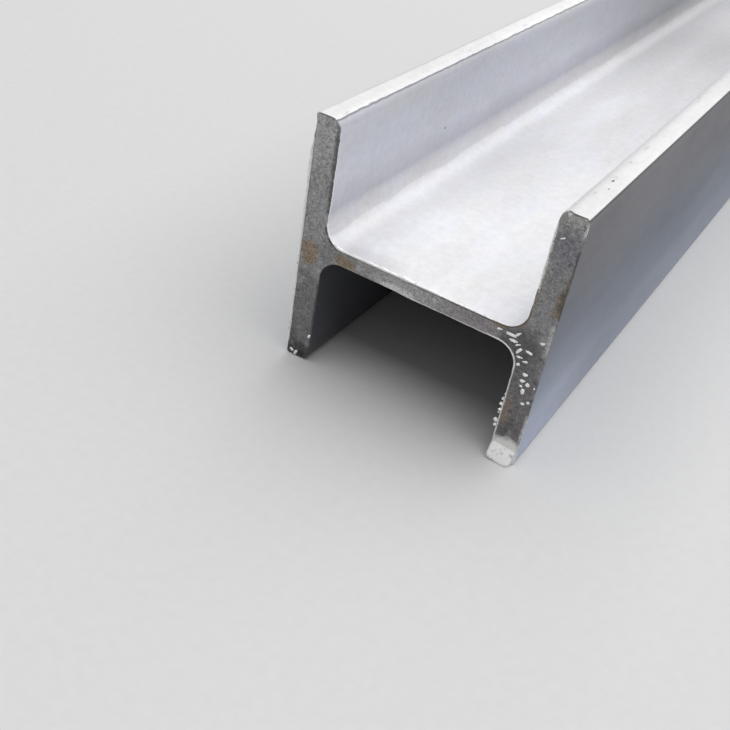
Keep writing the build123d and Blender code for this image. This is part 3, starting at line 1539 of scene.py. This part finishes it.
@dataclass(frozen=True)
class Lumps:
    """Small lumps, each a flattened ball, put in as one piece. Those over bumpy_size are less bumpy."""

    name: str
    plane_y: float
    middle_z: float
    drops: tuple[Drop, ...]
    finish: BareSteel | DarkScale
    rows: int = 10
    columns: int = 20
    bumpy: float = 0.55
    bumpy_size: float = 0.6 * MM
    bump_cell: float = 0.5 * MM
    seed: int = 401

    def _ball(self) -> tuple[np.ndarray, np.ndarray]:
        """A ball with its poles on Y, as rows of points round it.

        Returns:
            Points (n, 3), the two poles last, and triangles (m, 3).
        """
        polar = np.linspace(0.0, math.pi, self.rows)[1:-1]
        around = np.linspace(0.0, 2.0 * math.pi, self.columns, endpoint=False)
        p, q = np.meshgrid(polar, around, indexing="ij")
        ball = np.stack([np.sin(p) * np.cos(q), -np.cos(p), np.sin(p) * np.sin(q)], axis=-1).reshape(-1, 3)
        south, north = np.full(self.columns, len(ball)), np.full(self.columns, len(ball) + 1)
        low = np.arange(self.columns)
        high = low + len(ball) - self.columns
        caps = [(south, low, np.roll(low, -1)), (north, np.roll(high, -1), high)]
        faces = [tube_faces(self.rows - 2, self.columns)] + [np.stack(cap, axis=-1) for cap in caps]
        return np.concatenate([ball, [(0.0, -1.0, 0.0), (0.0, 1.0, 0.0)]]), np.concatenate(faces)

    def build(self) -> bpy.types.Object:
        """Builds all lumps as one piece.

        Each is a ball raised to a power towards a box, stretched to three half-sizes, shaken by noise,
        sheared so that it leans, and turned about Y.

        Returns:
            The piece.
        """
        ball, one = self._ball()
        table = np.array([astuple(drop) for drop in self.drops])
        centre, size = table[:, :3] * MM, table[:, 3:6] * MM
        turn, square, lean = np.radians(table[:, 6, None]), table[:, 7, None, None], table[:, 8, None]
        shaped = np.sign(ball) * np.abs(ball)[None, :, :] ** square * size[:, None, :]
        bumps = layered_noise(shaped + size[:, None, :] * 9.0, self.bump_cell, 2, self.seed)
        rough = self.bumpy * np.minimum(1.0, self.bumpy_size / size.mean(axis=1))
        shaped = shaped * (1.0 + rough[:, None, None] * bumps[..., None])
        x, y, z = shaped[..., 0], shaped[..., 1], shaped[..., 2]
        y = y + lean * z
        cos, sin = np.cos(turn), np.sin(turn)
        centre += np.array([0.0, self.plane_y, self.middle_z])
        points = np.stack([x * cos - z * sin, y, x * sin + z * cos], axis=-1) + centre[:, None, :]
        faces = one[None, :, :] + (np.arange(len(self.drops)) * len(ball))[:, None, None]
        piece = make_piece(self.name, points.reshape(-1, 3), faces.reshape(-1, 3), self.finish.material())
        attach(piece, "root")
        return piece


# Studio


@dataclass(frozen=True)
class SoftStudio:
    """A pale floor, one wide soft lamp overhead, a weak even fill and a pale backdrop."""

    floor: PaleFloor = PaleFloor()
    floor_reach: float = 40.0
    floor_drop: float = 0.05 * MM
    floor_points: int = 9
    lamp_across: float = 6.0
    lamp_along: float = 11.0
    lamp_height: float = 3.2
    lamp_back: float = 0.6
    lamp_right: float = 1.0
    lamp_power: float = 255.0
    fill: float = 0.22

    def build(self) -> None:
        """Lays the floor, hangs the lamp and sets the world."""
        side = self.floor_points
        steps = np.linspace(-self.floor_reach, self.floor_reach, side)
        x, y = np.meshgrid(steps, steps, indexing="ij")
        points = np.stack([x, y, np.full_like(x, -self.floor_drop)], axis=-1).reshape(-1, 3)
        grid = np.arange(side * side).reshape(side, side)
        faces = np.stack([grid[:-1, :-1], grid[1:, :-1], grid[1:, 1:], grid[:-1, 1:]], axis=-1)
        make_piece("studio_floor", points, faces.reshape(-1, 4), self.floor.material())
        light = bpy.data.lights.new("overhead_lamp", "AREA")
        light.shape = "RECTANGLE"
        light.size, light.size_y = self.lamp_across, self.lamp_along
        light.energy = self.lamp_power
        lamp = bpy.data.objects.new("overhead_lamp", light)
        lamp.location = (self.lamp_right, self.lamp_back, self.lamp_height)
        lamp.visible_camera = False
        bpy.context.scene.collection.objects.link(lamp)
        self._world()

    def _world(self) -> None:
        """An even fill for the object, and a pale colour for what the camera and shiny surfaces see."""
        sheet = NodeSheet("soft_world", of_world=True)
        fill = sheet.add("Background", {"Color": (1.0, 1.0, 1.0), "Strength": self.fill})
        seen = sheet.add("Background", {"Color": BACKDROP})
        rays = sheet.add("LightPath").outputs
        either = sheet.sum("MAXIMUM", rays["Is Camera Ray"], rays["Is Glossy Ray"])
        any_ray = sheet.sum("MAXIMUM", either, rays["Is Transmission Ray"])
        mix = sheet.add("MixShader", {0: any_ray, 1: fill.outputs[0], 2: seen.outputs[0]})
        bpy.context.scene.world = sheet.finish(mix.outputs[0])


@dataclass(frozen=True)
class PhotoCamera:
    """The camera at the photograph's place, measured from the middle of the near sawn end. Degrees."""

    offset: Triple = (0.117065, -0.273858, 0.182304)
    azimuth: float = 25.782
    elevation: float = 36.011
    roll: float = 10.557
    focal_pixels: float = 1002.8
    frame_pixels: float = 730.0
    sensor: float = 36.0
    clip: tuple[float, float] = (0.01, 200.0)

    def build(self, end_middle: Vector) -> None:
        """Sets up the camera.

        Args:
            end_middle: the middle of the near sawn end.
        """
        across, down, roll = (math.radians(angle) for angle in (self.azimuth, self.elevation, self.roll))
        level = Vector((math.cos(across), math.sin(across), 0.0))
        forward = Vector((-math.sin(across), math.cos(across), 0.0)) * math.cos(down)
        forward.z = -math.sin(down)
        right = level * math.cos(roll) + level.cross(forward) * math.sin(roll)
        turn = Matrix((right, right.cross(forward), -forward)).transposed().to_4x4()
        data = bpy.data.cameras.new("photo_camera")
        data.sensor_width = self.sensor
        data.lens = self.sensor * self.focal_pixels / self.frame_pixels
        data.clip_start, data.clip_end = self.clip
        camera = bpy.data.objects.new("photo_camera", data)
        camera.matrix_world = Matrix.Translation(end_middle + Vector(self.offset)) @ turn
        bpy.context.scene.collection.objects.link(camera)
        bpy.context.scene.camera = camera


# What the photograph shows on and beside the near sawn end


@dataclass(frozen=True)
class Places:
    """Travels of places on the outline. x and z are millimetres from the section's middle, without sign."""

    section: RolledSection

    def web(self, quarter: Quarter, x: float) -> float:
        """A place on the web's face."""
        return self.section.travel_of(quarter, x * MM)

    def inner(self, quarter: Quarter, z: float) -> float:
        """A place on the flange's inner face."""
        run = self.section.root_run + z * MM - self.section.web / 2 - self.section.root_radius
        return self.section.travel_of(quarter, run)

    def outer(self, quarter: Quarter, z: float) -> float:
        """A place on the flange's outer face."""
        return self.section.travel_of(quarter, self.section.quarter_run - z * MM)

    def toe(self, quarter: Quarter, past: float = 0.0) -> float:
        """A place past the start of the toe's inner corner."""
        return self.section.travel_of(quarter, self.section.toe_run + past * MM)

    def edge(self, quarter: Quarter, past: float = 0.0) -> float:
        """A place past the end of the toe's outer corner."""
        return self.section.travel_of(quarter, self.section.edge_run + past * MM)


def near_end(section: RolledSection, plane_y: float) -> SawnEnd:
    """The near sawn end with its bevels, rim lines, patches of tone, and painted light and shade on the skin
    beside it.

    Args:
        section: the section's sizes.
        plane_y: the end's plane.

    Returns:
        The end.
    """
    at = Places(section)
    web, inner, outer, toe, edge = at.web, at.inner, at.outer, at.toe, at.edge
    right, low_right, low_left, left = Quarter
    bare, rust, grime = Coat
    bevels = (
        RimStretch(toe(left, 2.0), inner(left, 13.0), 0.55 * MM),
        RimStretch(edge(left, 8.0), edge(left, -1.0), 0.60 * MM),
        RimStretch(inner(right, 12.0), toe(right), 0.70 * MM),
        RimStretch(inner(right, 42.5), toe(right, 7.0), 2.10 * MM),
    )
    marks = (
        RimMark(grime, toe(left, 4.0), inner(left, 28.0), 1.30, strength=0.62, ragged=0.6),
        RimMark(grime, inner(left, 34.0), inner(left, 14.0), 0.9, strength=0.60, ragged=0.6),
        RimMark(grime, toe(left, 1.0), inner(left, 12.0), 0.35, dash=1.2),
        RimMark(bare, toe(left, 1.0), inner(left, 12.0), 9.1, 9.0, skin_to=0.45),
        RimMark(grime, edge(left), toe(left, 3.0), 0.30, strength=0.8),
        RimMark(grime, inner(left, 12.0), web(left, 33.0), 0.7, dash=0.9),
        RimMark(bare, inner(left, 12.0), web(left, 33.0), 9.1, 9.0, skin_to=0.9),
        # Painted shadow: the dark lines under the burr's lips along the web's upper edge.
        RimMark(grime, web(left, 35.0), web(left, 4.0), 0.25, strength=0.70),
        RimMark(grime, web(left, 6.0), web(right, 31.0), 0.35, strength=0.85),
        RimMark(rust, web(right, 27.0), inner(right, 14.0), 0.8, 0.1, strength=0.62, soft=0.5),
        RimMark(grime, web(right, 27.0), inner(right, 16.0), 0.45, strength=0.7),
        RimMark(rust, inner(right, 12.0), inner(right, 24.0), 1.2, 0.3, strength=0.52, soft=0.8),
        RimMark(rust, inner(right, 22.0), inner(right, 42.0), 1.8, 1.0, strength=0.42, soft=0.9),
        # The pale soft band along the right flange's inner edge is fresh metal with a painted highlight.
        RimMark(bare, inner(right, 19.0), toe(right, 1.0), 0.30, skin_to=0.8, strength=0.72, soft=1.4),
        RimMark(grime, toe(right, 3.0), edge(right), 0.30, strength=0.8),
        RimMark(bare, edge(right), outer(right, 42.0), 0.5, strength=0.50),
        RimMark(grime, outer(right, 40.0), outer(right, 20.0), 0.10, skin_to=1.4, strength=0.5, soft=1.6),
        RimMark(grime, outer(right, 40.0), outer(right, 10.0), 0.30, strength=0.85, dash=2.4),
        RimMark(rust, outer(right, 31.0), outer(right, 12.0), 0.7, strength=0.62, soft=0.8),
        RimMark(grime, outer(right, 25.0), outer(right, 14.0), 1.2, strength=0.62, soft=0.9),
        RimMark(bare, outer(right, 12.0), outer(low_right, 4.0), 1.2, 0.5, strength=0.32, soft=0.8),
        RimMark(bare, outer(low_right, 26.0), outer(low_right, 47.0), 0.35, strength=0.46, soft=1.3),
        RimMark(bare, toe(low_right, 2.0), web(low_right, 26.0), 0.16, skin_to=0.2, strength=0.75),
        RimMark(bare, web(low_right, 28.0), web(low_left, 4.0), 0.10, strength=0.55),
        RimMark(bare, outer(low_left, 46.0), outer(left, 42.0), 0.25, skin_to=0.2, strength=0.85),
        RimMark(grime, outer(low_left, 46.0), outer(left, 40.0), 0.55, 0.25, strength=0.62),
        RimMark(grime, outer(left, 39.0), outer(left, 43.0), 0.5),
        RimMark(grime, inner(low_left, 13.0), toe(low_left, 2.0), 0.6, strength=0.7),
    )
    pale, ochre = (0.95, 0.95, 0.935), (0.30, 0.245, 0.19)
    # Patches of tone on the face; the first four draw the left flange darker towards the bottom.
    face_patches = (
        FacePatch(-45.0, 48.0, 16.0, 26.0, (0.41, 0.41, 0.415)),
        FacePatch(-45.0, 18.0, 12.0, 22.0, (0.315, 0.315, 0.32), 0.8),
        FacePatch(-45.0, -30.0, 12.0, 26.0, (0.172, 0.172, 0.175)),
        FacePatch(-45.0, -51.0, 12.0, 11.0, (0.058, 0.057, 0.057)),
        FacePatch(-35.0, 0.0, 9.0, 9.0, (0.235, 0.235, 0.24), 0.8),
        FacePatch(-3.0, -1.0, 17.0, 7.0, (0.41, 0.41, 0.41), ragged=0.2),
        FacePatch(-9.0, -2.1, 10.0, 1.9, (0.72, 0.72, 0.72), 0.8, ragged=0.2),
        FacePatch(23.0, 0.0, 15.0, 7.0, (0.31, 0.285, 0.29), ragged=0.3),
        FacePatch(40.0, -4.0, 11.0, 15.0, (0.16, 0.155, 0.16)),
        FacePatch(45.0, 20.0, 9.0, 20.0, (0.25, 0.25, 0.252), 0.8),
        FacePatch(44.5, 38.5, 7.5, 9.0, (0.215, 0.215, 0.235), 0.95),
        FacePatch(46.0, 51.5, 9.0, 8.0, (0.335, 0.335, 0.32), 0.95, ragged=0.25),
        FacePatch(45.0, -28.0, 10.0, 25.0, (0.165, 0.156, 0.162)),
        FacePatch(39.5, -4.0, 9.0, 12.0, (0.17, 0.165, 0.168), 0.5, grime, 0.44, 0.4),
        FacePatch(44.0, -38.0, 5.0, 7.0, (0.13, 0.125, 0.13), 0.5, grime, 0.36, 0.4),
        FacePatch(-45.3, -2.8, 4.8, 7.8, ochre, 0.5, rust, 0.62, 0.3),
        FacePatch(-30.6, -0.9, 5.6, 3.0, ochre, 0.5, rust, 0.60, 0.3),
        FacePatch(41.2, -29.0, 2.2, 7.0, ochre, 0.3, rust, 0.50, 0.4),
        FacePatch(48.6, 17.5, 2.0, 6.0, (0.17, 0.15, 0.135), 0.6, rust, 0.50, 0.4),
        FacePatch(44.4, -50.0, 9.0, 11.5, pale, 0.9, bare, 0.95, 0.25),
        FacePatch(-43.7, -47.8, 1.6, 1.6, (0.03, 0.03, 0.03), 1.0, grime, 0.95, 0.2),
    )
    # Painted light and shade on the skin: the web lighter near the end, its left side darker near the end
    # and in two patches farther along, the right flange's outer face darker farther along, and its lower
    # part lighter near the end as painted reflection.
    painted_light_patches = (
        PaintedSkinLight(web(left, 23.0), 3.0, 20.0, 9.0, 0.83),
        PaintedSkinLight(web(left, 17.0), 128.0, 26.0, 82.0, 0.885),
        PaintedSkinLight(web(left, 20.0), 330.0, 28.0, 120.0, 0.89),
        PaintedSkinLight(outer(right, 5.0), 230.0, 42.0, 140.0, 0.83),
        PaintedSkinLight(web(right, 14.0), 0.0, 48.0, 215.0, 1.19),
        PaintedSkinLight(outer(low_right, 46.0), 0.0, 55.0, 80.0, 1.50),
    )
    return SawnEnd(Patch.NEAR_FACE, plane_y, 11, bevels=bevels, marks=marks, face_patches=face_patches, painted_light_patches=painted_light_patches)


def far_end(section: RolledSection, plane_y: float) -> SawnEnd:
    """The far sawn end, plainer, with a little rust and an even rim.

    Args:
        section: the section's sizes.
        plane_y: the end's plane.

    Returns:
        The end.
    """
    at = Places(section)
    left, right = Quarter.UPPER_LEFT, Quarter.UPPER_RIGHT
    marks = (
        RimMark(Coat.BARE, at.web(left, 32.0), at.web(right, 32.0), 0.25),
        RimMark(Coat.GRIME, at.inner(right, 14.0), at.toe(right, 2.0), 0.7, strength=0.7),
    )
    face_patches = (
        FacePatch(45.0, 8.0, 6.0, 14.0, (0.30, 0.24, 0.19), 0.5, Coat.RUST, 0.6),
        FacePatch(-44.0, -36.0, 6.0, 10.0, (0.28, 0.24, 0.20), 0.5, Coat.RUST, 0.5),
        FacePatch(-45.0, 40.0, 12.0, 30.0, (0.40, 0.40, 0.405)),
    )
    return SawnEnd(Patch.FAR_FACE, plane_y, 61, marks=marks, face_patches=face_patches)


def burr_stretches(section: RolledSection) -> tuple[RimStretch, ...]:
    """Where the burr stands on the near end's rim, and how thick it is.

    Args:
        section: the section's sizes.

    Returns:
        The stretches.
    """
    at = Places(section)
    right, low_right, low_left, left = Quarter
    return (
        RimStretch(at.web(left, 39.0), at.web(right, 12.0), 1.50 * MM),
        RimStretch(at.web(left, 2.0), at.web(right, 30.0), 0.70 * MM),
        RimStretch(at.toe(low_right, 3.0), at.inner(low_right, 12.0), 0.28 * MM),
        RimStretch(at.inner(low_right, 16.0), at.web(low_right, 20.0), 0.45 * MM),
        RimStretch(at.web(low_right, 26.0), at.web(low_left, 10.0), 0.30 * MM),
        RimStretch(at.outer(low_left, 46.0), at.outer(left, 40.5), 0.95 * MM),
        RimStretch(at.edge(right, -1.0), at.outer(right, 42.0), 0.35 * MM),
        RimStretch(at.edge(low_right, 6.0), at.edge(low_right, -2.0), 0.45 * MM),
    )


def metal_drops() -> tuple[Drop, ...]:
    """The block, slivers and beads of metal on the near end, where the photograph shows them.

    Returns:
        The lumps. A sliver's row has its x, z, half-length, half-width and turn, a bead's its x, z and size.
    """
    block = Drop(44.5, 0.6, -45.75, 4.9, 1.7, 4.2, -5.0, 0.36, 0.58)
    slivers = (
        (36.3, 0.8, 1.70, 0.50, -6.0),
        (38.3, 1.9, 1.20, 0.45, 48.0),
        (37.3, -1.0, 1.50, 0.52, -2.0),
        (34.8, 0.9, 0.75, 0.45, 12.0),
        (40.2, -3.6, 1.45, 0.60, 60.0),
        (43.8, -2.9, 1.25, 0.45, -8.0),
        (39.2, -1.8, 0.90, 0.35, 30.0),
        (40.8, -6.1, 1.20, 0.38, 6.0),
        (43.2, -6.9, 1.05, 0.42, 20.0),
        (41.2, -8.9, 0.80, 0.55, 24.0),
        (47.0, 2.5, 1.10, 0.45, 14.0),
        (44.5, -11.6, 0.95, 0.62, 12.0),
        (44.2, -14.4, 0.95, 0.60, 16.0),
        (46.3, -15.0, 0.75, 0.70, 0.0),
        (44.3, -16.6, 0.55, 0.50, 0.0),
        (45.4, -18.2, 0.75, 0.95, 0.0),
        (49.0, -15.3, 0.45, 0.45, 0.0),
        (46.5, -23.2, 0.85, 0.50, 18.0),
        (48.4, -21.9, 0.60, 0.55, 0.0),
        (43.4, 40.9, 0.95, 0.28, 30.0),
        (-46.0, -48.4, 1.15, 0.62, 58.0),
        (-47.8, -47.9, 0.80, 0.50, -30.0),
        (-40.9, -38.4, 0.50, 0.75, 0.0),
        (-39.7, 10.9, 0.42, 0.40, 0.0),
        (31.6, 1.1, 0.90, 0.35, 10.0),
    )
    beads = (
        (39.9, -22.4, 0.45),
        (39.6, -24.7, 0.60),
        (39.3, -27.1, 0.62),
        (39.5, -29.6, 0.60),
        (39.3, -31.0, 0.40),
        (39.0, -34.4, 0.85),
        (39.2, -36.6, 0.62),
    )
    return (
        block,
        *(Drop(x, 0.0, z, long, 0.6 * wide, wide, turn, 0.95, 0.3) for x, z, long, wide, turn in slivers),
        *(Drop(x, 0.1, z, size, size, size) for x, z, size in beads),
    )


def scale_dots() -> tuple[Drop, ...]:
    """Dark dots on the rolled faces, where the photograph shows them.

    Returns:
        The dots.
    """
    return (
        Drop(-38.9, 60.4, 5.2, 0.5, 1.1, 0.5),
        Drop(45.0, 32.6, 50.0, 0.42, 1.1, 0.12),
        Drop(46.2, 25.6, 50.0, 0.22, 0.5, 0.08),
        Drop(-40.0, 84.4, 23.3, 0.12, 0.6, 0.50),
        Drop(50.0, 21.7, 13.1, 0.10, 0.9, 0.6),
    )


def main() -> None:
    """Builds the beam, its marks, the studio and the camera, and keeps both sizes."""
    logging.basicConfig(level=logging.INFO, format="%(name)s %(message)s")
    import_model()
    low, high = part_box(BEAM_NODE)
    section = RolledSection((high.x - low.x) / 2, (high.z - low.z) / 2)
    middle_z = (high.z + low.z) / 2
    near, far = near_end(section, low.y), far_end(section, high.y)
    bare = BareSteel()
    RolledBeam(section, middle_z, near, far, SkinTonesAndPaintedLight(), ScaleSkin(section), SawnSteel()).build()
    SawBurr(section, low.y, middle_z, burr_stretches(section), bare).build()
    Lumps("metal_drops", low.y, middle_z, metal_drops(), bare).build()
    Lumps("scale_dots", low.y, middle_z, scale_dots(), DarkScale()).build()
    SoftStudio().build()
    PhotoCamera().build(Vector((0.0, low.y, middle_z)))
    bpy.context.scene.view_settings.view_transform = "Standard"


if __name__ == "__main__":
    main()
